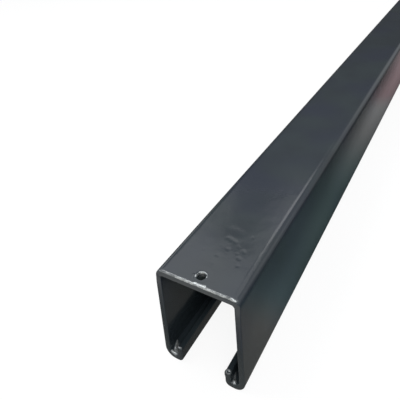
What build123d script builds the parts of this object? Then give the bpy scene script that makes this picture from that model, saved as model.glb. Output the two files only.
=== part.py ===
"""Strut channel: a length of cold roll-formed, painted steel channel with in-turned lips.

The channel lies slot down, as it rests unheld on a level floor. The origin is on the floor, under the
middle of the length. +Y runs along the channel and +Z points up, out of the web.
"""

import os

from build123d import *

# Driving dimensions, in millimetres
WIDTH = 41.3  # over the flanges
DEPTH = 52.0  # from the lips to the back of the web
THICKNESS = 2.7  # 2.5 mm sheet and its paint
LENGTH = 1000.0
SLOT_WIDTH = 22.3  # clear gap between the two return lips
RETURN_HEIGHT = 8.0  # from the bottom of the lip to the edge of its return
WEB_BEND = 4.0  # outer radius where the web turns into a flange
LIP_BEND = 5.2  # outer radius where a flange turns into its lip
RETURN_BEND = 2.4  # outer radius where a lip turns up into its return
INNER_BEND_MIN = 0.6  # no bend is tighter than this on its inside
STRIP_EDGE_ROUND = 0.7  # the slit edge of the strip, rounded by the paint
CUT_EDGE_ROUND = 0.4  # the cut ends are dressed before they are painted
HANG_HOLE = 4.4  # diameter of the hole that the channel hung from while it was painted
HANG_HOLE_FROM_END = 5.5


def bent_line(inset):
    """Half of the section's outline, from the middle of the web to the edge of the return lip.

    An inset of 0 gives the outside of the bent strip, and an inset of THICKNESS its inside.
    """
    flange = WIDTH / 2 - inset
    slot_side = SLOT_WIDTH / 2 + inset
    points = [
        (0, DEPTH - inset),
        (flange, DEPTH - inset),
        (flange, inset),
        (slot_side, inset),
        (slot_side, RETURN_HEIGHT),
    ]
    bends = [max(bend - inset, INNER_BEND_MIN) for bend in (WEB_BEND, LIP_BEND, RETURN_BEND)]
    return FilletPolyline(*points, radius=bends)


def section():
    """The C section with its two return lips, symmetrical about the Y axis of its plane."""
    outside = bent_line(0)
    inside = bent_line(THICKNESS)
    strip_edge = Line(outside @ 1, inside @ 1)
    middle = Line(inside @ 0, outside @ 0)
    half = make_face([*outside.edges(), strip_edge, *inside.edges(), middle])
    strip_corners = [v for v in half.vertices() if abs(v.Y - RETURN_HEIGHT) < 1e-6]
    half = fillet(strip_corners, STRIP_EDGE_ROUND)
    return half + mirror(half, about=Plane.YZ)


def bar():
    """The section run out to the full length, with both cut ends dressed."""
    front = Plane(origin=(0, -LENGTH / 2, 0), x_dir=(1, 0, 0), z_dir=(0, -1, 0))
    stock = extrude(front * section(), amount=-LENGTH)
    ends = stock.faces().filter_by(Axis.Y)
    return fillet([edge for end in ends for edge in end.edges()], CUT_EDGE_ROUND)


def channel():
    """The dressed bar with the hang hole drilled through its web, close to the front end."""
    place = Location((0, -LENGTH / 2 + HANG_HOLE_FROM_END, DEPTH))
    return bar() - place * Cylinder(HANG_HOLE / 2, 4 * THICKNESS)


os.makedirs("parts", exist_ok=True)
export_step(channel(), "parts/channel.step")
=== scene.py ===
"""Strut channel: the finish and the fine relief of a painted, roll-formed steel channel.

The bent section is drawn in the plane of the front end, run out to the channel's length row by row,
dressed at both ends and drilled. The front end then gets what the shear and the paint left there: a
rolled edge, a dragged underside, nicks with bare metal, and drops, runs and pits of the paint. Bare
metal's colour there also stands in for painted highlights: on the rolled edge, on the drops and runs,
and round the hole's rim. The paint is a glossy dark grey enamel.
"""

import math

import bmesh
import bpy
from bpy.props import (
    CollectionProperty, FloatProperty, FloatVectorProperty, IntProperty, PointerProperty
)
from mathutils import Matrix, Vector, noise


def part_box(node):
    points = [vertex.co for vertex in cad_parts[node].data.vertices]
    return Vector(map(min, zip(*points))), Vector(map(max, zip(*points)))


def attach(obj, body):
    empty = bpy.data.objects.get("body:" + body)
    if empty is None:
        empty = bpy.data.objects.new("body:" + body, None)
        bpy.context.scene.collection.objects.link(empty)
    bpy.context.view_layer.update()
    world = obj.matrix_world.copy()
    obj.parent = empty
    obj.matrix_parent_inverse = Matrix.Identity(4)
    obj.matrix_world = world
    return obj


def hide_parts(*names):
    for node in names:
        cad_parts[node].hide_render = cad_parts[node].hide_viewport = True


bl_info = {
    "name": "Strut Channel",
    "version": (1, 0, 0),
    "blender": (4, 5, 0),
    "location": "View3D > Sidebar > Strut Channel",
    "description": "Builds a painted strut channel and a plain stage for it",
    "category": "Add Mesh",
}

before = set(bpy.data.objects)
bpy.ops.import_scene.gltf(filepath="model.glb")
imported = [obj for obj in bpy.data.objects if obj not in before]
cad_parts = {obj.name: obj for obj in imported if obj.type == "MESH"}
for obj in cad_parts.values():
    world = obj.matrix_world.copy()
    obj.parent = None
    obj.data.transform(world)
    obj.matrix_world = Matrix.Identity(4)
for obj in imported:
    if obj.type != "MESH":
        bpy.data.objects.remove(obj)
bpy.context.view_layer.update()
NODE_LOW, NODE_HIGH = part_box("channel")

MM = 0.001
HALF_WIDTH = NODE_HIGH.x
TOP = NODE_HIGH.z
FRONT = NODE_LOW.y
BACK = NODE_HIGH.y
TINY = 1e-6

# The faces along the channel, at its ends and at the slit edges
FINE_LENGTH = 12 * MM  # rows keep their first length as far as this from the front end
ROW_GROWTH = 1.07  # after it, each row is this many times as long as the last
ROW_ROOM = 1.5  # how many more rows have to fit in, for one more to be added
ENDWAYS = 0.99  # a face whose normal has this much Y lies in an end of the channel

SLIT_COUNTS = (1, 2, 1)  # faces along the three flats of a slit edge

# The faces at the hang hole
HOLE_MARGIN = 2 * MM  # how far round the hole they are evened
EVENING_TURNS = 20
WALL_CUTS = 3

# What the shear left
SHEAR_FADE = 4 * MM  # height over which it fades out down the flanges
SHEAR_DEPTH = 1.25 * SHEAR_FADE  # how far under the web it ends

# The lip of the hang hole and the dip round it
LIP_WIDTH = 0.9 * MM
DISH_WIDTH = 3.2 * MM
LIP_LEVEL = 0.55  # its usual height
LIP_RAGGED = 0.5  # how uneven it is
LIP_BEHIND = 0.4  # how much higher it is on the side away from the end
LIP_GRAIN = 0.6  # waves of its raggedness, to a millimetre

# The nicks of the front edge
NICK_REACH = 1.3 * MM  # how far from the end they go
NICK_GRAIN = 0.4  # waves, to a millimetre
NICK_ON_RIGHT = 0.3  # how much more of them there is at the right
NICK_LEAST = 0.1  # where the waves are lower, the edge is whole
NICK_SLOPE = 2.5


def from_front_end(place):
    """A place given from the middle of the front end, in the frame of the channel."""
    return Vector(place) + Vector((0.0, FRONT, 0.0))


# ---------------------------------------------------------------- settings


class MarkSettings(bpy.types.PropertyGroup):
    """A drop, ridge or pit at the front end: a smooth swelling along a line on the surface.

    Its ends are given across, back from the front end, and up from the floor.
    """

    start: FloatVectorProperty(
        name="From", description="One end of the line", size=3, default=(0.0, 0.0, 0.0), subtype="TRANSLATION"
    )
    end: FloatVectorProperty(
        name="To", description="Other end of the line", size=3, default=(0.0, 0.0, 0.0), subtype="TRANSLATION"
    )
    radius: FloatProperty(name="Radius", description="Half its width", default=0.5 * MM, unit="LENGTH")
    height: FloatProperty(name="Height", description="Below 0 for a pit", default=0.2 * MM, unit="LENGTH")
    # Bareness is bare metal, and painted highlight where the mark stands in for a glint.
    bareness_and_glint: FloatProperty(
        name="Bareness", description="How much bare metal it shows", default=0.0, min=-1, max=1
    )


class ChannelSettings(bpy.types.PropertyGroup):
    """Sizes of the bent section, of its cut ends and of its hang hole."""

    thickness: FloatProperty(
        name="Thickness", description="Sheet and paint", default=2.7 * MM, min=1 * MM, unit="LENGTH"
    )
    slot_width: FloatProperty(
        name="Slot width", description="Clear gap between the returns", default=22.3 * MM, unit="LENGTH"
    )
    return_height: FloatProperty(
        name="Return height", description="Lip's underside to the slit edge", default=8 * MM, unit="LENGTH"
    )
    web_bend: FloatProperty(
        name="Web bend", description="Outer radius, web to flange", default=4 * MM, unit="LENGTH"
    )
    lip_bend: FloatProperty(
        name="Lip bend", description="Outer radius, flange to lip", default=5.2 * MM, unit="LENGTH"
    )
    return_bend: FloatProperty(
        name="Return bend", description="Outer radius, lip to return", default=2.4 * MM, unit="LENGTH"
    )
    inner_bend_min: FloatProperty(
        name="Tightest bend", description="No bend is tighter on its inside", default=0.6 * MM, unit="LENGTH"
    )
    strip_edge_round: FloatProperty(
        name="Strip edge round", description="Rounding of the slit edges", default=0.7 * MM, unit="LENGTH"
    )
    cut_edge_round: FloatProperty(
        name="Cut edge round", description="Rounding of the cut ends", default=0.6 * MM, unit="LENGTH"
    )
    hole_diameter: FloatProperty(
        name="Hang hole", description="Diameter of the hang hole", default=4.2 * MM, unit="LENGTH"
    )
    hole_from_end: FloatProperty(
        name="Hole from end", description="Front end to the hole's centre", default=5.5 * MM, unit="LENGTH"
    )
    hole_edge_round: FloatProperty(
        name="Hole edge round", description="Rounding of the hole's rims", default=0.35 * MM, unit="LENGTH"
    )
    shear_roll: FloatProperty(
        name="Shear roll", description="How far the web's top edge is rolled over", default=0.5 * MM,
        unit="LENGTH",
    )
    shear_drag: FloatProperty(
        name="Shear drag", description="How far the web's underside is dragged down", default=0.7 * MM,
        unit="LENGTH",
    )
    shear_reach: FloatProperty(
        name="Shear reach", description="How far from the end the shear shows", default=1.8 * MM,
        unit="LENGTH",
    )
    shear_lean: FloatProperty(
        name="Shear lean", description="How far the web's end face leans back at its top", default=0.4 * MM,
        unit="LENGTH",
    )
    edge_chips: FloatProperty(
        name="Edge chips", description="Depth of the nicks along the web's front edge", default=0.12 * MM,
        unit="LENGTH",
    )
    hole_dish: FloatProperty(
        name="Hole dish", description="How far the web dips round the hang hole", default=0.12 * MM,
        unit="LENGTH",
    )
    hole_lip: FloatProperty(
        name="Hole lip", description="Height of the lip of metal and paint round the hole", default=0.42 * MM,
        unit="LENGTH",
    )
    face_width: FloatProperty(
        name="Face width", description="Faces across the web, lips and returns", default=0.5 * MM,
        unit="LENGTH",
    )
    flange_face_width: FloatProperty(
        name="Flange face width", description="Faces across the flanges", default=1.2 * MM, unit="LENGTH"
    )
    row_first: FloatProperty(
        name="First row", description="Length of the rows at the front end", default=0.5 * MM, unit="LENGTH"
    )
    row_last: FloatProperty(
        name="Last row", description="Length that the rows grow to", default=18 * MM, unit="LENGTH"
    )
    bend_segments: IntProperty(name="Bend segments", description="Faces round each bend", default=8, min=3)
    edge_segments: IntProperty(name="Edge segments", description="Faces round each edge", default=4, min=2)
    marks: CollectionProperty(
        name="Marks", description="Drops, runs and pits at the front end", type=MarkSettings
    )


class EnamelSettings(bpy.types.PropertyGroup):
    """Colours and relief of the paint."""

    colour: FloatVectorProperty(
        name="Paint", description="Where the paint is thick", subtype="COLOR", default=(0.019, 0.025, 0.029),
        min=0, max=1,
    )
    thin_colour: FloatVectorProperty(
        name="Thin paint", description="Where the paint is thin", subtype="COLOR",
        default=(0.022, 0.03, 0.033), min=0, max=1,
    )
    cool_colour: FloatVectorProperty(
        name="Cool cloud", description="The bluer clouds of the paint", subtype="COLOR",
        default=(0.019, 0.024, 0.034), min=0, max=1,
    )
    # Also the colour of the painted highlights on the front edge, the marks and the hole's rim.
    metal: FloatVectorProperty(
        name="Bare metal", description="Where the paint is off", subtype="COLOR", default=(0.5, 0.52, 0.53),
        min=0, max=1,
    )
    dull_metal: FloatVectorProperty(
        name="Dull metal", description="Stained patches of the bare metal", subtype="COLOR",
        default=(0.3, 0.32, 0.31), min=0, max=1,
    )
    roughness: FloatProperty(name="Roughness", description="Of sound paint", default=0.16, min=0, max=1)
    peel_height: FloatProperty(
        name="Peel height", description="Relief of the orange peel", default=0.02 * MM, unit="LENGTH"
    )
    wave_height: FloatProperty(
        name="Wave height", description="Relief of the paint's slow waves", default=0.12 * MM, unit="LENGTH"
    )


# Ends of each mark, then its radius, height and bareness; lengths in millimetres. The bareness is bare metal,
# and painted highlight: on the beads, runs, tip ring, flecks and bend it stands in for glints, and in the
# left pool it is a painted glow in the fold.
MARKS = {
    "smear on the edge": ((-8.4, 0.8, 51.6), (-5.0, 1.2, 51.7), 1.2, 0.14, 0.12),
    # A painted highlight: the light spot at the right corner of the front end and up the start of the bend.
    "highlight on the right bend": ((17.2, 0.9, 51.6), (18.9, 1.3, 50.9), 1.0, 0.0, 0.42),
    # The runs, beads and tip ring are raised drops; their bright bare metal is mostly painted glints.
    "left run": ((-15.7, 0.8, 2.7), (-17.0, 2.9, 2.9), 1.4, 0.3, 0.55),
    "left run's tail": ((-17.0, 2.9, 2.9), (-17.7, 5.5, 4.3), 1.1, 0.15, 0.6),
    "left corner bead": ((-17.6, 0.5, 3.4), (-16.7, 0.5, 2.9), 0.9, 0.3, 0.8),
    "left tip bead": ((-13.2, 0.7, 7.8), (-12.0, 0.8, 7.9), 0.85, 0.2, 0.55),
    # The left pool's bareness is a painted glow in the left fold, over a shallow pool of paint.
    "left pool": ((-15.2, 1.0, 2.7), (-16.2, 4.5, 2.7), 3.0, 0.1, 0.35),
    "right tip ring": ((12.4, 0.9, 7.9), (12.8, 0.9, 7.9), 1.75, 0.5, 0.7),
    "right tip pit": ((12.6, 0.7, 8.2), (12.8, 0.7, 8.2), 1.0, -0.5, -0.7),
    "right tip bulge": ((11.2, 0.7, 6.6), (11.2, 0.7, 5.8), 1.5, 0.35, 0.0),
    "right fold bead": ((15.3, 0.9, 2.7), (15.0, 1.3, 2.7), 1.3, 0.6, 0.95),
    "right run": ((15.0, 1.3, 2.7), (13.9, 4.9, 3.4), 1.1, 0.2, 0.5),
    # By the hole, these are painted glints on small drops of paint.
    "glint by the hole": ((-0.6, 1.1, 51.8), (-0.2, 1.3, 51.8), 0.8, 0.08, 0.75),
    "flecks before the hole": ((0.6, 1.1, 51.8), (4.2, 1.2, 51.8), 0.9, 0.0, 0.5),
    "glint right of the hole": ((3.8, 1.2, 51.8), (4.3, 1.4, 51.8), 0.8, 0.08, 0.5),
    "left rim of the hole": ((-2.9, 3.0, 51.9), (-3.3, 4.8, 51.9), 0.9, 0.1, 0.2),
    "dent": ((-0.9, 31.4, 52.0), (3.4, 30.4, 52.0), 1.8, -0.065, 0.0),
    "dent behind": ((-2.0, 37.6, 52.0), (3.0, 36.6, 52.0), 3.6, -0.06, 0.0),
    "pit 1": ((9.1, 36.4, 52.0), (9.3, 36.3, 52.0), 1.2, -0.05, 0.0),
    "pit 2": ((9.2, 26.4, 52.0), (9.9, 26.0, 52.0), 1.6, -0.06, 0.0),
    "pit 3": ((9.0, 21.8, 52.0), (9.9, 21.4, 52.0), 1.6, -0.055, 0.0),
    "pit 4": ((10.9, 17.3, 52.0), (11.0, 17.3, 52.0), 1.5, -0.055, 0.0),
    "pit 5": ((2.5, 24.8, 52.0), (2.6, 24.8, 52.0), 1.6, -0.045, 0.0),
    "pit 6": ((-0.1, 19.3, 52.0), (0.0, 19.3, 52.0), 1.5, -0.035, 0.0),
    "pit 7": ((-7.3, 20.0, 52.0), (-7.2, 20.0, 52.0), 1.5, -0.025, 0.0),
    "pit 8": ((0.7, 14.2, 52.0), (0.8, 14.2, 52.0), 1.4, -0.02, 0.0),
    "pit 9": ((7.4, 24.0, 52.0), (7.8, 23.8, 52.0), 1.3, -0.03, 0.0),
    "pit 10": ((5.8, 28.2, 52.0), (6.4, 27.8, 52.0), 1.4, -0.03, 0.0),
    "scuff": ((20.65, 11.2, 24.0), (20.65, 11.3, 25.2), 1.2, 0.0, 0.3),
    "low scuff": ((20.65, 13.5, 14.5), (20.65, 15.5, 13.0), 1.6, 0.0, 0.25),
}


# ---------------------------------------------------------------- channel mesh


def slit_foot(sizes):
    """Height at which the outline of a slit edge leaves the two sides of the strip."""
    return sizes.return_height - 2 * sizes.strip_edge_round


def side_corners(sizes, inset):
    """(x, z, bend radius) at each corner of one side of the strip, from one slit edge to the other."""
    slot_side = sizes.slot_width / 2 + inset
    flange = HALF_WIDTH - inset
    bends = [
        max(bend - inset, sizes.inner_bend_min)
        for bend in (sizes.return_bend, sizes.lip_bend, sizes.web_bend)
    ]
    half = [
        (slot_side, slit_foot(sizes), 0.0),
        (slot_side, inset, bends[0]),
        (flange, inset, bends[1]),
        (flange, TOP - inset, bends[2]),
    ]
    return half + [(-x, z, bend) for x, z, bend in reversed(half)]


def slit_corners(sizes, side):
    """(x, z, bend radius) at each corner of a slit edge, right of the slot for 1 and left for -1."""
    near = side * sizes.slot_width / 2
    far = near + side * sizes.thickness
    foot = slit_foot(sizes)
    return [
        (near, foot, 0.0),
        (near, sizes.return_height, sizes.strip_edge_round),
        (far, sizes.return_height, sizes.strip_edge_round),
        (far, foot, 0.0),
    ]


def side_counts(sizes):
    """How many faces wide each flat of the strip is, the same outside and inside."""
    corners = side_corners(sizes, 0.0)
    counts = []
    for (x0, z0, bend0), (x1, z1, bend1) in zip(corners, corners[1:]):
        flat = math.hypot(x1 - x0, z1 - z0) - bend0 - bend1
        on_flange = abs(x0 - x1) < TINY and abs(z0 - z1) > sizes.return_height
        width = sizes.flange_face_width if on_flange else sizes.face_width
        counts.append(max(round(flat / width), 1))
    return counts


def chain(bm, start):
    """The edges of an open line, in order, from the loose end of it that lies at start."""
    loose = [vert for vert in bm.verts if len(vert.link_edges) == 1]
    vert = min(loose, key=lambda other: (other.co - start).length)
    edges = []
    while True:
        ahead = [edge for edge in vert.link_edges if not edges or edge is not edges[-1]]
        if not ahead:
            return edges
        edges.append(ahead[0])
        vert = ahead[0].other_vert(vert)


def is_flat(edge):
    """True for an edge that runs straight along X or Z, as no chord of a bend does."""
    along = edge.verts[1].co - edge.verts[0].co
    return abs(along.x) < TINY or abs(along.z) < TINY


def draw_line(bm, corners, segments, counts):
    """Draws a line with rounded corners in the plane of the front end, and returns its edges in order.

    Each flat of the line is cut into as many edges as counts says.
    """
    points = [bm.verts.new((x, FRONT, z)) for x, z, bend in corners]
    for pair in zip(points, points[1:]):
        bm.edges.new(pair)
    for point, (x, z, bend) in zip(points, corners):
        if bend:
            bmesh.ops.bevel(
                bm, geom=[point], offset=bend, offset_type="OFFSET", segments=segments,
                profile=0.5, affect="VERTICES", material=-1,
            )
    first_x, first_z = corners[0][:2]
    start = Vector((first_x, FRONT, first_z))
    flats = [edge for edge in chain(bm, start) if is_flat(edge)]
    for flat, count in zip(flats, counts):
        if count > 1:
            bmesh.ops.subdivide_edges(bm, edges=[flat], cuts=count - 1)
    return chain(bm, start)


def slit_edges(bm, sizes, side):
    """The open edges round the tip of one return, right of the slot for 1 and left for -1."""
    far = sizes.slot_width / 2 + sizes.thickness
    return [
        edge for edge in bm.edges
        if len(edge.link_faces) < 2
        and all(slit_foot(sizes) - TINY < vert.co.z < sizes.return_height + TINY for vert in edge.verts)
        and all(0 < side * vert.co.x < far + TINY for vert in edge.verts)
    ]


def draw_end_face(bm, sizes):
    """The end face: a strip of faces between the two sides, closed at both slit edges."""
    counts = side_counts(sizes)
    outside = draw_line(bm, side_corners(sizes, 0.0), sizes.bend_segments, counts)
    inside = draw_line(bm, side_corners(sizes, sizes.thickness), sizes.bend_segments, counts)
    across = bmesh.ops.bridge_loops(bm, edges=outside + inside)["edges"]
    bmesh.ops.subdivide_edgering(
        bm, edges=across, cuts=1, interp_mode="LINEAR", profile_shape="LINEAR"
    )
    for side in (1, -1):
        draw_line(bm, slit_corners(sizes, side), sizes.edge_segments, SLIT_COUNTS)
    bmesh.ops.remove_doubles(bm, verts=bm.verts[:], dist=TINY)
    for side in (1, -1):
        bmesh.ops.contextual_create(bm, geom=slit_edges(bm, sizes, side))


def row_places(sizes):
    """Where the rows of faces end, from the front end's rounding to the back end's."""
    place = FRONT + sizes.cut_edge_round
    step = sizes.row_first
    end = BACK - sizes.cut_edge_round
    while place + ROW_ROOM * step < end:
        place += step
        yield place
        if place > FRONT + FINE_LENGTH:
            step = min(step * ROW_GROWTH, sizes.row_last)
    yield end - sizes.row_first
    yield end


def run_out(bm, sizes):
    """Runs the rim of the end face out to the length, row by row, and closes the back end."""
    ends = bm.faces[:] + bm.edges[:] + bm.verts[:]
    rim = [edge for edge in bm.edges if edge.is_boundary]
    place = FRONT + sizes.cut_edge_round
    bmesh.ops.translate(bm, verts=bm.verts[:], vec=(0.0, sizes.cut_edge_round, 0.0))
    back = bmesh.ops.duplicate(bm, geom=ends)["geom"]
    for target in row_places(sizes):
        grown = bmesh.ops.extrude_edge_only(bm, edges=rim)["geom"]
        moved = [item for item in grown if isinstance(item, bmesh.types.BMVert)]
        bmesh.ops.translate(bm, verts=moved, vec=(0.0, target - place, 0.0))
        rim = [item for item in grown if isinstance(item, bmesh.types.BMEdge) and item.is_boundary]
        place = target
    moved = [item for item in back if isinstance(item, bmesh.types.BMVert)]
    bmesh.ops.translate(bm, verts=moved, vec=(0.0, place - FRONT - sizes.cut_edge_round, 0.0))
    bmesh.ops.remove_doubles(bm, verts=bm.verts[:], dist=TINY)
    bmesh.ops.recalc_face_normals(bm, faces=bm.faces[:])


def round_ends(bm, sizes):
    """Rounds the edges all round both cut ends: each row goes further in and less far out."""
    ends = [face for face in bm.faces if abs(face.normal.y) > ENDWAYS]
    turn = math.pi / 2 / sizes.edge_segments
    for row in range(sizes.edge_segments):
        inwards = math.cos(row * turn) - math.cos((row + 1) * turn)
        outwards = math.sin((row + 1) * turn) - math.sin(row * turn)
        bmesh.ops.inset_region(
            bm, faces=ends, thickness=sizes.cut_edge_round * inwards, depth=sizes.cut_edge_round * outwards,
            use_even_offset=True, use_boundary=True,
        )


def is_near(point, centre, half, level):
    """True for a point of the web at that level that lies in the square around the centre."""
    return (
        abs(point.z - level) < TINY
        and abs(point.x - centre.x) < half
        and abs(point.y - centre.y) < half
    )


def open_hole(bm, centre, radius, level):
    """Opens the web around the centre to a circle, evens the faces near it, and returns its edges."""
    patch = [face for face in bm.faces if is_near(face.calc_center_median(), centre, radius, level)]
    bmesh.ops.delete(bm, geom=patch, context="FACES")
    rim = [edge for edge in bm.edges if edge.is_boundary and abs(edge.verts[0].co.z - level) < TINY]
    around = sorted(
        {vert for edge in rim for vert in edge.verts},
        key=lambda vert: math.atan2(vert.co.y - centre.y, vert.co.x - centre.x),
    )
    for number, vert in enumerate(around):
        angle = (number + 0.5) * math.tau / len(around) - math.pi
        vert.co.x = centre.x + radius * math.cos(angle)
        vert.co.y = centre.y + radius * math.sin(angle)
    half = radius + HOLE_MARGIN
    beside = [vert for vert in bm.verts if is_near(vert.co, centre, half, level) and vert not in around]
    for turn in range(EVENING_TURNS):
        bmesh.ops.smooth_vert(bm, verts=beside, factor=0.5, use_axis_x=True, use_axis_y=True)
    return rim


def drill_hole(bm, sizes):
    """The hang hole through the web, with both its rims rounded."""
    centre = Vector((0.0, FRONT + sizes.hole_from_end, TOP))
    radius = sizes.hole_diameter / 2
    upper = open_hole(bm, centre, radius, TOP)
    lower = open_hole(bm, centre, radius, TOP - sizes.thickness)
    wall = bmesh.ops.bridge_loops(bm, edges=upper + lower)
    bmesh.ops.subdivide_edgering(
        bm, edges=wall["edges"], cuts=WALL_CUTS, interp_mode="LINEAR", profile_shape="LINEAR"
    )
    bmesh.ops.recalc_face_normals(bm, faces=bm.faces[:])
    bmesh.ops.bevel(
        bm, geom=upper + lower, offset=sizes.hole_edge_round, offset_type="OFFSET",
        segments=sizes.edge_segments, profile=0.5, affect="EDGES", material=-1,
    )


def ease(value):
    """0 up to 0, 1 from 1 on, and smooth between."""
    held = min(max(value, 0.0), 1.0)
    return held * held * (3.0 - 2.0 * held)


def shear_end(bm, sizes):
    """Shapes the web at the front end as the shear leaves it.

    Its top edge is rolled over, its face leans back, and its underside is dragged down.
    """
    lowest = TOP - sizes.thickness - SHEAR_DEPTH
    for vert in bm.verts:
        back = (vert.co.y - FRONT) / sizes.shear_reach
        if back > 1.0 or vert.co.z < lowest:
            continue
        fall = (1.0 - back) ** 2
        depth = min(TOP - vert.co.z, HALF_WIDTH - abs(vert.co.x)) / sizes.thickness
        dragged = sizes.shear_drag * ease((vert.co.z - lowest) / SHEAR_FADE)
        rolled = sizes.shear_roll * ease((HALF_WIDTH - abs(vert.co.x)) / sizes.web_bend)
        vert.co.z -= (depth * dragged + (1.0 - depth) * rolled) * fall
        vert.co.y += sizes.shear_lean * (1.0 - depth) * ease((vert.co.z - lowest) / SHEAR_FADE) * fall


def refine(bm, is_inside):
    """Halves the faces whose centres are inside."""
    faces = [face for face in bm.faces if is_inside(face.calc_center_median())]
    edges = dict.fromkeys(edge for face in faces for edge in face.edges)
    bmesh.ops.subdivide_edges(bm, edges=list(edges), cuts=1, use_grid_fill=True)


def line_distance(point, start, end):
    """From the point to the line that ends at start and end."""
    along = end - start
    share = min(max((point - start).dot(along) / along.length_squared, 0.0), 1.0)
    return (point - start - share * along).length


def bell(distance, radius):
    """1 at no distance, 0 from the radius on, and smooth between."""
    return max(1.0 - (distance / radius) ** 2, 0.0) ** 2


def hole_relief(point, sizes):
    """How far the web rises at a point beside the hang hole: it dips towards it, and has a ragged lip."""
    from_hole = Vector((point.x, point.y - FRONT - sizes.hole_from_end, 0.0))
    away = abs(from_hole.length - sizes.hole_diameter / 2)
    waves = noise.noise(point * LIP_GRAIN / MM)
    ragged = LIP_LEVEL + LIP_RAGGED * waves + LIP_BEHIND * from_hole.y / from_hole.length
    return sizes.hole_lip * ragged * bell(away, LIP_WIDTH) - sizes.hole_dish * bell(away, DISH_WIDTH)


def chip_relief(point, sizes):
    """How far the web's front edge is nicked at a point. The nicks are deeper towards the right."""
    nick = noise.noise(point * NICK_GRAIN / MM) + NICK_ON_RIGHT * point.x / HALF_WIDTH - NICK_LEAST
    return -sizes.edge_chips * ease(NICK_SLOPE * nick) * bell(point.y - FRONT, NICK_REACH)


def is_web_front(point, sizes):
    """True in the upper half of the web, from the front end to just behind the hang hole."""
    return point.z > TOP - sizes.thickness / 2 and point.y < FRONT + 2 * sizes.hole_from_end


def refine_near_marks(bm, sizes, lines):
    """Makes the faces small at the front of the web and on the marks, where relief follows.

    Returns the points of the front part, as far back as the last mark.
    """
    last = max(end.y + mark.radius for mark, start, end in lines)
    bmesh.ops.poke(bm, faces=[face for face in bm.faces if len(face.verts) > 4])
    refine(bm, lambda point: is_web_front(point, sizes))
    for margin in (sizes.face_width, 0.0):
        refine(bm, lambda point: point.y < last + margin and any(
            line_distance(point, start, end) < mark.radius + margin for mark, start, end in lines
        ))
    many_sided = [face for face in bm.faces if len(face.verts) > 4]
    bmesh.ops.triangulate(bm, faces=many_sided)
    bm.normal_update()
    return [vert for vert in bm.verts if vert.co.y < last]


def leave_marks(bm, sizes):
    """Raises the drops, ridges, nicks and the hole's lip, and notes how bare of paint each point is, which
    also holds its painted highlights.

    The end face itself stays flat, and nothing moves out past it.
    """
    # The bare layer holds bare metal and painted highlights alike.
    bare = bm.verts.layers.float.new("bare")
    lines = [(mark, from_front_end(mark.start), from_front_end(mark.end)) for mark in sizes.marks]
    near = [(vert, vert.normal.copy()) for vert in refine_near_marks(bm, sizes, lines)]
    for vert, normal in near:
        place = vert.co.copy()
        held = ease((place.y - FRONT) / (sizes.cut_edge_round / 2))
        rise = 0.0
        for mark, start, end in lines:
            swell = bell(line_distance(place, start, end), mark.radius)
            rise += mark.height * swell
            vert[bare] += mark.bareness_and_glint * swell
        if is_web_front(place, sizes):
            rise += hole_relief(place, sizes) + chip_relief(place, sizes)
        move = held * rise * normal
        move.y = max(move.y, 0.0)
        vert.co += move


def keep_inside(bm):
    """Holds every point inside the channel's own box. Nothing moves at the back end, so that is left."""
    for vert in bm.verts:
        vert.co.x = min(max(vert.co.x, -HALF_WIDTH), HALF_WIDTH)
        vert.co.y = max(vert.co.y, FRONT)
        vert.co.z = min(max(vert.co.z, NODE_LOW.z), TOP)


def channel_mesh(sizes):
    """The smooth-shaded mesh of the bent, cut, drilled and marked channel."""
    bm = bmesh.new()
    draw_end_face(bm, sizes)
    run_out(bm, sizes)
    round_ends(bm, sizes)
    drill_hole(bm, sizes)
    shear_end(bm, sizes)
    leave_marks(bm, sizes)
    keep_inside(bm)
    for face in bm.faces:
        face.smooth = True
    mesh = bpy.data.meshes.new("strut_channel")
    bm.to_mesh(mesh)
    bm.free()
    return mesh


class STRUT_OT_channel(bpy.types.Operator):
    """Builds the bent, cut and drilled channel"""

    bl_idname = "strut.channel"
    bl_label = "Channel"

    def execute(self, context):
        sizes = context.scene.strut_channel
        piece = bpy.data.objects.new("strut_channel", channel_mesh(sizes))
        context.scene.collection.objects.link(piece)
        piece.data.materials.append(enamel(context.scene.strut_enamel, sizes))
        piece.modifiers.new("even shading", "WEIGHTED_NORMAL")
        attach(piece, "root")
        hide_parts("channel")
        return {"FINISHED"}


# ---------------------------------------------------------------- nodes


class Signal:
    """A socket whose value varies over a surface. Python arithmetic on it adds Math nodes."""

    def __init__(self, recipe, socket):
        self.recipe = recipe
        self.socket = socket

    def math(self, operation, first, second):
        return self.recipe.add("ShaderNodeMath", {"operation": operation}, {0: first, 1: second})

    def __add__(self, other):
        return self.math("ADD", self, other)

    __radd__ = __add__

    def __sub__(self, other):
        return self.math("SUBTRACT", self, other)

    def __rsub__(self, other):
        return self.math("SUBTRACT", other, self)

    def __mul__(self, other):
        return self.math("MULTIPLY", self, other)

    __rmul__ = __mul__

    def size(self):
        """The value without its sign."""
        return self.math("ABSOLUTE", self, 0.0)

    def ramp(self, low, high):
        """0 where the value is at low, 1 where it is at high, and smooth between."""
        return self.recipe.add(
            "ShaderNodeMapRange",
            {"interpolation_type": "SMOOTHSTEP"},
            {"Value": self, "From Min": low, "From Max": high},
        )


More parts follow.
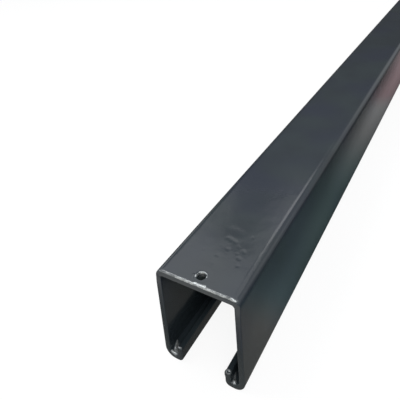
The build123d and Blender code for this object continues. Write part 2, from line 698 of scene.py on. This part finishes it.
class Recipe:
    """The nodes of one material or world."""

    def __init__(self, tree):
        self.tree = tree
        tree.nodes.clear()

    def add(self, kind, settings=None, inputs=None, output=0):
        """Adds a node, makes its settings, fills or links its inputs, and returns one of its outputs."""
        node = self.tree.nodes.new(kind)
        for name, value in (settings or {}).items():
            setattr(node, name, value)
        for name, value in (inputs or {}).items():
            if isinstance(value, Signal):
                self.tree.links.new(value.socket, node.inputs[name])
            else:
                node.inputs[name].default_value = value
        return Signal(self, node.outputs[output])

    def finish(self, kind, surface):
        """Ends the recipe in an output node."""
        self.tree.links.new(surface.socket, self.tree.nodes.new(kind).inputs["Surface"])

    def blend(self, factor, first, second):
        """A colour that goes from the first to the second."""
        return self.add("ShaderNodeMix", {"data_type": "RGBA"}, {0: factor, 6: first, 7: second}, output=2)

    def part(self, vector, name):
        """The X, Y or Z of a vector."""
        return self.add("ShaderNodeSeparateXYZ", None, {0: vector}, output=name)

    def length(self, vector):
        return self.add("ShaderNodeVectorMath", {"operation": "LENGTH"}, {0: vector}, output="Value")

    def noise(self, place, scale, detail):
        """A cloudy pattern about 0.5, with scale waves to a unit of the place."""
        return self.add(
            "ShaderNodeTexNoise",
            {"noise_dimensions": "3D"},
            {"Vector": place, "Scale": scale, "Detail": detail, "Roughness": 0.5},
        )

    def bump(self, height, distance, normal=None):
        """Normals of a relief that is height times distance high, over the given normals."""
        inputs = {"Height": height, "Distance": distance, "Strength": 1.0}
        if normal:
            inputs["Normal"] = normal
        return self.add("ShaderNodeBump", None, inputs)


def opaque(colour):
    """The colour with an alpha of 1, as colour sockets take it."""
    return (*colour, 1.0)


WHITE = opaque([1.0] * 3)


# ---------------------------------------------------------------- enamel


# Patterns: waves to a millimetre, and detail
CLOUDS = (0.045, 3.0)
DRIFTS = (0.02, 2.0)
SPOTS = (1 / 1.8, 3.0)
STAINS = (1 / 0.7, 3.0)
PEEL = (1 / 1.6, 1.0)
WAVES = (1 / 9.0, 1.0)

# Levels of a pattern between which it shows
CLOUDS_SHOW = (0.35, 0.65)
DRIFTS_SHOW = (0.4, 0.7)
STAINS_SHOW = (0.35, 0.7)
EDGE_SPOTS_SHOW = (0.48, 0.6)
RING_SPOTS_SHOW = (0.46, 0.58)

# Where the paint is off, and where painted highlights lie, in millimetres
WEB_SKIN = (1.2, 0.7)  # under the web's top
EDGE_WIDTH = (0.5, 1.25)  # behind the front end
RING_WIDTH = (0.3, 0.9)  # off the rim of the hang hole
SMEARED = (-4.0, -7.0)  # across the web: paint was smeared on the edge left of this

# How far it is off, or painted highlight
# The front edge's even band is mostly a painted highlight of the rolled edge; its spots are partly nicks and
# partly painted glints.
EDGE_WEAR_AND_HIGHLIGHT = 0.5  # all along the front edge
EDGE_SPOT_WEAR_AND_GLINT = 0.42  # and more in the spots
SMEAR_COVER = 0.1
# Round the hole's rim this is wear and a painted highlight of the rim's bright crescent.
RING_WEAR_AND_HIGHLIGHT = 0.8
BARE_AND_GLINT_SHOWS = (0.1, 0.9)

# Where it is off, or painted highlight, more often: what these add to the spots for each millimetre
RING_BEHIND = 0.045
RING_ON_LEFT = 0.012
EDGE_ON_RIGHT = 0.004

# What bare metal, with the painted highlights that share it, and clouds do to the gloss
BARE_AND_GLINT_METALLIC = 0.7
BARE_AND_GLINT_ROUGHNESS = 0.28
CLOUD_ROUGHNESS = 0.08

# The paint's relief is strongest near the front end, and fades out between these, in millimetres
RELIEF_FADES = (20.0, 110.0)
PEEL_LEFT = 0.4  # share of the orange peel that is left from there on
WAVES_LEFT = 0.25  # share of the waves


def millimetres(recipe):
    """Where the surface is, in millimetres: across, back from the front end, and up."""
    coordinates = recipe.add("ShaderNodeTexCoord", output="Object")
    return recipe.add(
        "ShaderNodeMapping",
        {"vector_type": "POINT"},
        {"Vector": coordinates, "Location": (0.0, -FRONT / MM, 0.0), "Scale": (1 / MM, 1 / MM, 1 / MM)},
    )


def hole_wear_and_highlight(recipe, place, spots, sizes):
    """1 where the paint is off round the rim of the hang hole, mostly on its side away from the end, where it
    also stands in for the rim's painted highlight.
    """
    centre = (0.0, -sizes.hole_from_end / MM, 0.0)
    from_hole = recipe.add(
        "ShaderNodeMapping",
        {"vector_type": "POINT"},
        {"Vector": place, "Location": centre, "Scale": (1.0, 1.0, 0.0)},
    )
    off_rim = (recipe.length(from_hole) - sizes.hole_diameter / MM / 2).size()
    behind = RING_BEHIND * recipe.part(from_hole, "Y") - RING_ON_LEFT * recipe.part(from_hole, "X")
    return (1 - off_rim.ramp(*RING_WIDTH)) * RING_WEAR_AND_HIGHLIGHT * (spots + behind).ramp(*RING_SPOTS_SHOW)


def edge_wear_and_highlight(recipe, place, spots):
    """1 where the paint is off along the front edge, with a few more spots towards the right. The even band
    all along the edge is mostly a painted highlight of the rolled edge, and the spots are partly painted
    glints.
    """
    across = recipe.part(place, "X")
    back = recipe.part(place, "Y")
    spotted = EDGE_WEAR_AND_HIGHLIGHT + EDGE_SPOT_WEAR_AND_GLINT * (spots + EDGE_ON_RIGHT * across).ramp(*EDGE_SPOTS_SHOW)
    return (1 - back.ramp(*EDGE_WIDTH)) * (1 - SMEAR_COVER * across.ramp(*SMEARED)) * spotted


def bare_metal_and_glints(recipe, place, sizes):
    """1 where the metal colour shows: bare metal where the paint is off, and painted highlights and glints,
    on the marks, round the hang hole, and in spots and a band along the front edge.
    """
    marked = recipe.add("ShaderNodeAttribute", {"attribute_name": "bare"}, output="Fac")
    spots = recipe.noise(place, *SPOTS)
    web = recipe.part(place, "Z").ramp(*[TOP / MM - under for under in WEB_SKIN])
    worn_and_highlit = hole_wear_and_highlight(recipe, place, spots, sizes) + edge_wear_and_highlight(recipe, place, spots)
    return (marked + web * worn_and_highlit).ramp(*BARE_AND_GLINT_SHOWS)


def enamel(paint, sizes):
    """Glossy dark grey enamel with orange peel, clouded by its uneven thickness, with wear at the front end
    and painted highlights there in the colour of bare metal.
    """
    material = bpy.data.materials.new("dark_enamel")
    material.use_nodes = True
    recipe = Recipe(material.node_tree)
    place = millimetres(recipe)

    cloud = recipe.noise(place, *CLOUDS)
    drift = recipe.noise(place, *DRIFTS)
    colour = recipe.blend(cloud.ramp(*CLOUDS_SHOW), opaque(paint.colour), opaque(paint.thin_colour))
    colour = recipe.blend(drift.ramp(*DRIFTS_SHOW), colour, opaque(paint.cool_colour))

    # bare shows bare metal and, in the same colour, painted highlights and glints.
    bare = bare_metal_and_glints(recipe, place, sizes)
    stain = recipe.noise(place, *STAINS)
    metal = recipe.blend(stain.ramp(*STAINS_SHOW), opaque(paint.metal), opaque(paint.dull_metal))

    near_front = 1 - recipe.part(place, "Y").ramp(*RELIEF_FADES)
    peel = recipe.noise(place, *PEEL)
    wave = recipe.noise(place, *WAVES)
    waves = (wave - 0.5) * (WAVES_LEFT + (1 - WAVES_LEFT) * near_front)
    normal = recipe.bump(waves, paint.wave_height)
    normal = recipe.bump(peel * (PEEL_LEFT + (1 - PEEL_LEFT) * near_front), paint.peel_height, normal)

    shader = recipe.add(
        "ShaderNodeBsdfPrincipled", None,
        {
            "Base Color": recipe.blend(bare, colour, metal),
            "Metallic": BARE_AND_GLINT_METALLIC * bare,
            "Roughness": paint.roughness + CLOUD_ROUGHNESS * (cloud - 0.5) + BARE_AND_GLINT_ROUGHNESS * bare,
            "Normal": normal,
        },
    )
    recipe.finish("ShaderNodeOutputMaterial", shader)
    return material


# ---------------------------------------------------------------- stage


class LampSettings(bpy.types.PropertyGroup):
    """One soft white lamp of the stage. Places are taken from the middle of the front end, on the floor."""

    size: FloatVectorProperty(
        name="Size", description="Width and depth of the lamp", size=2, default=(1.0, 1.0), min=0,
        unit="LENGTH",
    )
    place: FloatVectorProperty(
        name="Place", description="Centre of the lamp", size=3, default=(0.0, 0.0, 1.0), subtype="TRANSLATION"
    )
    aim: FloatVectorProperty(
        name="Aim", description="What the lamp points at", size=3, default=(0.0, 0.0, 0.0),
        subtype="TRANSLATION",
    )
    level: FloatProperty(
        name="Level", description="How bright the lamp looks, where 1 is white", default=1.0, min=0
    )


# Size, place and aim of each lamp in metres, and its level
LAMPS = {
    "ceiling": ((1.24, 1.24), (-0.75, 0.42, 1.05), (-0.75, 0.42, 0.0), 1.05),
    "ceiling, right": ((0.12, 0.5), (-0.45, 1.2, 1.05), (-0.45, 1.2, 0.0), 0.9),
    "ceiling, left": ((0.12, 0.4), (-0.76, 1.2, 1.05), (-0.76, 1.2, 0.0), 0.8),
    "ceiling, over the bend": ((1.15, 0.62), (0.3, 0.68, 1.06), (0.3, 0.68, 0.0), 1.0),
    "skylight": ((0.48, 0.52), (-0.12, 1.18, 1.04), (-0.12, 1.18, 0.0), 2.1),
    "fill": ((0.9, 0.9), (0.6, -0.8, 1.3), (0.0, 0.2, 0.0), 7.0),
    "left": ((0.4, 0.4), (-0.5, -0.12, 1.0), (0.0, 0.0, 0.05), 9.0),
    "right": ((1.0, 0.7), (1.1, 0.85, 0.66), (0.0, 0.0, 0.05), 0.42),
    "behind": ((0.6, 0.5), (0.4, 1.6, 0.5), (0.0, 0.3, 0.05), 0.2),
    "front": ((0.9, 0.6), (-0.3, -1.1, 0.6), (0.0, 0.0, 0.03), 1.6),
}

SENSOR_WIDTH = 36.0  # in millimetres, as a camera gives it
NEAREST = 0.01  # the camera sees nothing nearer than this, in metres
FLOOR_HALF = 6.0  # half the side of the floor, in metres
PAPER_WHITE = 0.95  # of the floor to the camera, where light falls on it

# What some places of the floor add to the white that gloss shows
UNDER_END = 0.12
NEAR_END = 0.09
FAR_BACK = 0.12
ON_RIGHT = 0.03
RIGHT_NEAR = 0.04
FAR_RIGHT = 0.09

CLOSE_LEAST = 0.6  # share of the brightness close to the flange that is left right beside it
PINK_AWAY = 0.3  # share of the far tint that is left further off

# Heights and sides of the sky, as the Z and X of a direction, between which its colours change
SKY_RISE = (0.2, 0.7)
SKY_RIGHT = (0.0, 0.35)
SKY_LEFT = (-0.66, -0.8)


class StageSettings(bpy.types.PropertyGroup):
    """Levels of the floor and the world, the lamps, and the place of the camera."""

    floor_grey: FloatProperty(
        name="Floor", description="Grey of the floor to light that falls on it", default=0.45, min=0, max=1
    )
    floor_glow: FloatProperty(
        name="Floor glow", description="How much of the floor is plain white to the camera", default=0.9,
        min=0, max=1,
    )
    floor_gloss: FloatVectorProperty(
        name="Floor in gloss",
        description="Share of that white in reflections: everywhere, and more at the foot, behind, in front",
        size=4, min=0, max=1, default=(0.02, 0.06, 0.33, 0.85),
    )
    near_tint: FloatVectorProperty(
        name="Near tint", description="Tint of the floor in reflections at the front end", subtype="COLOR",
        default=(1.0, 0.97, 0.9),
    )
    side_tint: FloatVectorProperty(
        name="Side tint", description="Tint of the floor in reflections further along", subtype="COLOR",
        default=(0.66, 1.0, 1.0),
    )
    far_tint: FloatVectorProperty(
        name="Far tint", description="Tint of the floor in reflections behind", subtype="COLOR",
        default=(1.0, 0.72, 0.76),
    )
    left_sky: FloatVectorProperty(
        name="Left sky", description="World on the left", subtype="COLOR", default=(0.85, 0.85, 0.85),
    )
    low_sky: FloatVectorProperty(
        name="Low sky", description="World at the horizon", subtype="COLOR", default=(0.07, 0.07, 0.075),
    )
    high_sky: FloatVectorProperty(
        name="High sky", description="World overhead", subtype="COLOR", default=(0.36, 0.38, 0.42),
    )
    right_low_sky: FloatVectorProperty(
        name="Right low sky", description="World at the horizon on the right", subtype="COLOR",
        default=(0.44, 0.46, 0.48),
    )
    right_high_sky: FloatVectorProperty(
        name="Right high sky", description="World overhead on the right", subtype="COLOR",
        default=(0.58, 0.6, 0.62),
    )
    camera_place: FloatVectorProperty(
        name="Camera", description="Camera, from the middle of the front end on the floor", size=3,
        default=(0.0859, -0.1158, 0.194), subtype="TRANSLATION",
    )
    camera_turn: FloatVectorProperty(
        name="Camera turn", description="Euler angles of the camera", size=3, subtype="EULER",
        default=[math.radians(turn) for turn in (68.285, 4.424, 31.27)],
    )
    lens: FloatProperty(name="Lens", description="Focal length on a 36 mm frame", default=40.82, min=1)
    shift: FloatProperty(name="Shift", description="Vertical shift of the frame", default=-0.2714)
    lamps: CollectionProperty(name="Lamps", description="The soft lamps", type=LampSettings)


def beyond(along, start, end):
    """0 up to the start and 1 from the end on, both in millimetres back from the front end."""
    return along.ramp(FRONT + start * MM, FRONT + end * MM)


def gloss_level(stage, rightwards, along, off, close):
    """How much of the floor's white gloss shows. Off is how far the place lies from the flanges' planes."""
    everywhere, at_foot, at_back, at_front = stage.floor_gloss
    foot = off.ramp(1 * MM, 6 * MM) * (1 - off.ramp(9 * MM, 17 * MM)) * beyond(along, 15, 45)
    on_right = (
        ON_RIGHT * rightwards.ramp(-HALF_WIDTH - 5 * MM, -HALF_WIDTH)
        + RIGHT_NEAR * rightwards.ramp(0.0, HALF_WIDTH) * (1 - beyond(along, 110, 170))
        + FAR_RIGHT * rightwards.ramp(0.12, 0.4)
    )
    return (
        everywhere
        + at_foot * foot
        + at_back * beyond(along, 100, 400) * close
        + at_front * (1 - beyond(along, -55, -15))
        + FAR_BACK * beyond(along, 400, 500)
        + UNDER_END * beyond(along, -25, -5) * (1 - beyond(along, 0, 2))
        + NEAR_END * (1 - beyond(along, 30, 85))
        + on_right
    )


def gloss_tint(recipe, stage, along, off, close):
    """Colour of the floor in gloss: from the near tint to the side tint, to white, and to the far tint.

    The far tint keeps to the floor outside the channel.
    """
    tint = recipe.blend(beyond(along, 30, 60), opaque(stage.near_tint), opaque(stage.side_tint))
    tint = recipe.blend(beyond(along, 150, 270), tint, WHITE)
    far = beyond(along, 310, 370) * off.ramp(-2.5 * MM, 0.0)
    return recipe.blend(far * (close + PINK_AWAY), tint, opaque(stage.far_tint))


def paper(stage):
    """A pale floor: white to the camera but for the object's shadow, and duller to the light.

    Gloss shows it duller too, lighter in some places along the channel, and tinted.
    """
    material = bpy.data.materials.new("paper")
    material.use_nodes = True
    recipe = Recipe(material.node_tree)
    camera = recipe.add("ShaderNodeLightPath", output="Is Camera Ray")
    gloss = recipe.add("ShaderNodeLightPath", output="Is Glossy Ray")
    through = recipe.add("ShaderNodeLightPath", output="Is Transmission Ray")
    bounce = recipe.add("ShaderNodeLightPath", output="Is Diffuse Ray")
    lit = recipe.add(
        "ShaderNodeBsdfDiffuse", None, {"Color": camera * PAPER_WHITE + bounce * stage.floor_grey}
    )

    place = recipe.add("ShaderNodeTexCoord", output="Object")
    rightwards = recipe.part(place, "X")
    along = recipe.part(place, "Y")
    off = rightwards.size() - HALF_WIDTH
    beside = CLOSE_LEAST + (1 - CLOSE_LEAST) * off.ramp(2 * MM, 12 * MM)
    close = (1 - off.ramp(14 * MM, 21 * MM)) * beside

    level = gloss_level(stage, rightwards, along, off, close)
    share = camera * stage.floor_glow + (gloss + through) * level
    tint = recipe.blend(camera, gloss_tint(recipe, stage, along, off, close), WHITE)
    glow = recipe.add("ShaderNodeEmission", None, {"Color": tint, "Strength": 1.0})
    surface = recipe.add("ShaderNodeMixShader", None, {0: share, 1: lit, 2: glow})
    recipe.finish("ShaderNodeOutputMaterial", surface)
    return material


def studio(stage):
    """A room that is dim near the horizon, lighter overhead and at both sides, and white to the camera."""
    world = bpy.data.worlds.new("studio")
    world.use_nodes = True
    recipe = Recipe(world.node_tree)
    direction = recipe.add("ShaderNodeTexCoord", output="Generated")
    side = recipe.part(direction, "X")
    rise = recipe.part(direction, "Z").ramp(*SKY_RISE)
    camera = recipe.add("ShaderNodeLightPath", output="Is Camera Ray")
    middle = recipe.blend(rise, opaque(stage.low_sky), opaque(stage.high_sky))
    right = recipe.blend(rise, opaque(stage.right_low_sky), opaque(stage.right_high_sky))
    sky = recipe.blend(side.ramp(*SKY_RIGHT), middle, right)
    sky = recipe.blend(side.ramp(*SKY_LEFT), sky, opaque(stage.left_sky))
    surface = recipe.add("ShaderNodeBackground", None, {"Color": recipe.blend(camera, sky, WHITE)})
    recipe.finish("ShaderNodeOutputWorld", surface)
    return world


def add_floor(scene, stage):
    bm = bmesh.new()
    bmesh.ops.create_grid(bm, x_segments=1, y_segments=1, size=FLOOR_HALF)
    mesh = bpy.data.meshes.new("floor")
    bm.to_mesh(mesh)
    bm.free()
    mesh.materials.append(paper(stage))
    floor = bpy.data.objects.new("floor", mesh)
    scene.collection.objects.link(floor)


def add_lamp(scene, settings):
    """An elliptical lamp that sends out as much light as a sheet of its level would."""
    lamp = bpy.data.lights.new(settings.name, "AREA")
    lamp.shape = "ELLIPSE"
    lamp.size, lamp.size_y = settings.size
    area = math.pi * lamp.size * lamp.size_y / 4
    lamp.energy = settings.level * math.pi * area
    holder = bpy.data.objects.new(settings.name, lamp)
    holder.location = from_front_end(settings.place)
    beam = Vector(settings.aim) - Vector(settings.place)
    holder.rotation_euler = beam.to_track_quat("-Z", "Y").to_euler()
    holder.visible_camera = False
    scene.collection.objects.link(holder)


def add_camera(scene, stage):
    data = bpy.data.cameras.new("camera")
    data.sensor_width = SENSOR_WIDTH
    data.lens = stage.lens
    data.shift_y = stage.shift
    data.clip_start = NEAREST
    camera = bpy.data.objects.new("camera", data)
    camera.location = from_front_end(stage.camera_place)
    camera.rotation_euler = stage.camera_turn
    scene.collection.objects.link(camera)
    scene.camera = camera


class STRUT_OT_stage(bpy.types.Operator):
    """Builds the floor, the lamps, the world and the camera"""

    bl_idname = "strut.stage"
    bl_label = "Stage"

    def execute(self, context):
        scene = context.scene
        stage = scene.strut_stage
        add_floor(scene, stage)
        for settings in stage.lamps:
            add_lamp(scene, settings)
        add_camera(scene, stage)
        scene.world = studio(stage)
        scene.view_settings.view_transform = "Standard"
        return {"FINISHED"}


class STRUT_PT_panel(bpy.types.Panel):
    """Lists the operators"""

    bl_label = "Strut Channel"
    bl_idname = "STRUT_PT_panel"
    bl_space_type = "VIEW_3D"
    bl_region_type = "UI"
    bl_category = "Strut Channel"

    def draw(self, context):
        layout = self.layout
        layout.operator("strut.channel")
        layout.operator("strut.stage")


CLASSES = (
    MarkSettings, ChannelSettings, EnamelSettings, LampSettings, StageSettings,
    STRUT_OT_channel, STRUT_OT_stage, STRUT_PT_panel,
)


def register():
    for cls in CLASSES:
        bpy.utils.register_class(cls)
    bpy.types.Scene.strut_channel = PointerProperty(type=ChannelSettings)
    bpy.types.Scene.strut_enamel = PointerProperty(type=EnamelSettings)
    bpy.types.Scene.strut_stage = PointerProperty(type=StageSettings)


def unregister():
    del bpy.types.Scene.strut_stage
    del bpy.types.Scene.strut_enamel
    del bpy.types.Scene.strut_channel
    for cls in reversed(CLASSES):
        bpy.utils.unregister_class(cls)


def set_marks(sizes):
    """Fills the list of marks, which has no default of its own."""
    sizes.marks.clear()
    for name, (start, end, radius, height, bareness_and_glint) in MARKS.items():
        mark = sizes.marks.add()
        mark.name = name
        mark.start = Vector(start) * MM
        mark.end = Vector(end) * MM
        mark.radius = radius * MM
        mark.height = height * MM
        mark.bareness_and_glint = bareness_and_glint


def set_lamps(stage):
    """Fills the list of lamps, which has no default of its own."""
    stage.lamps.clear()
    for name, (size, place, aim, level) in LAMPS.items():
        lamp = stage.lamps.add()
        lamp.name = name
        lamp.size = size
        lamp.place = place
        lamp.aim = aim
        lamp.level = level


def main():
    register()
    set_marks(bpy.context.scene.strut_channel)
    set_lamps(bpy.context.scene.strut_stage)
    bpy.ops.strut.channel()
    bpy.ops.strut.stage()


if __name__ == "__main__":
    main()
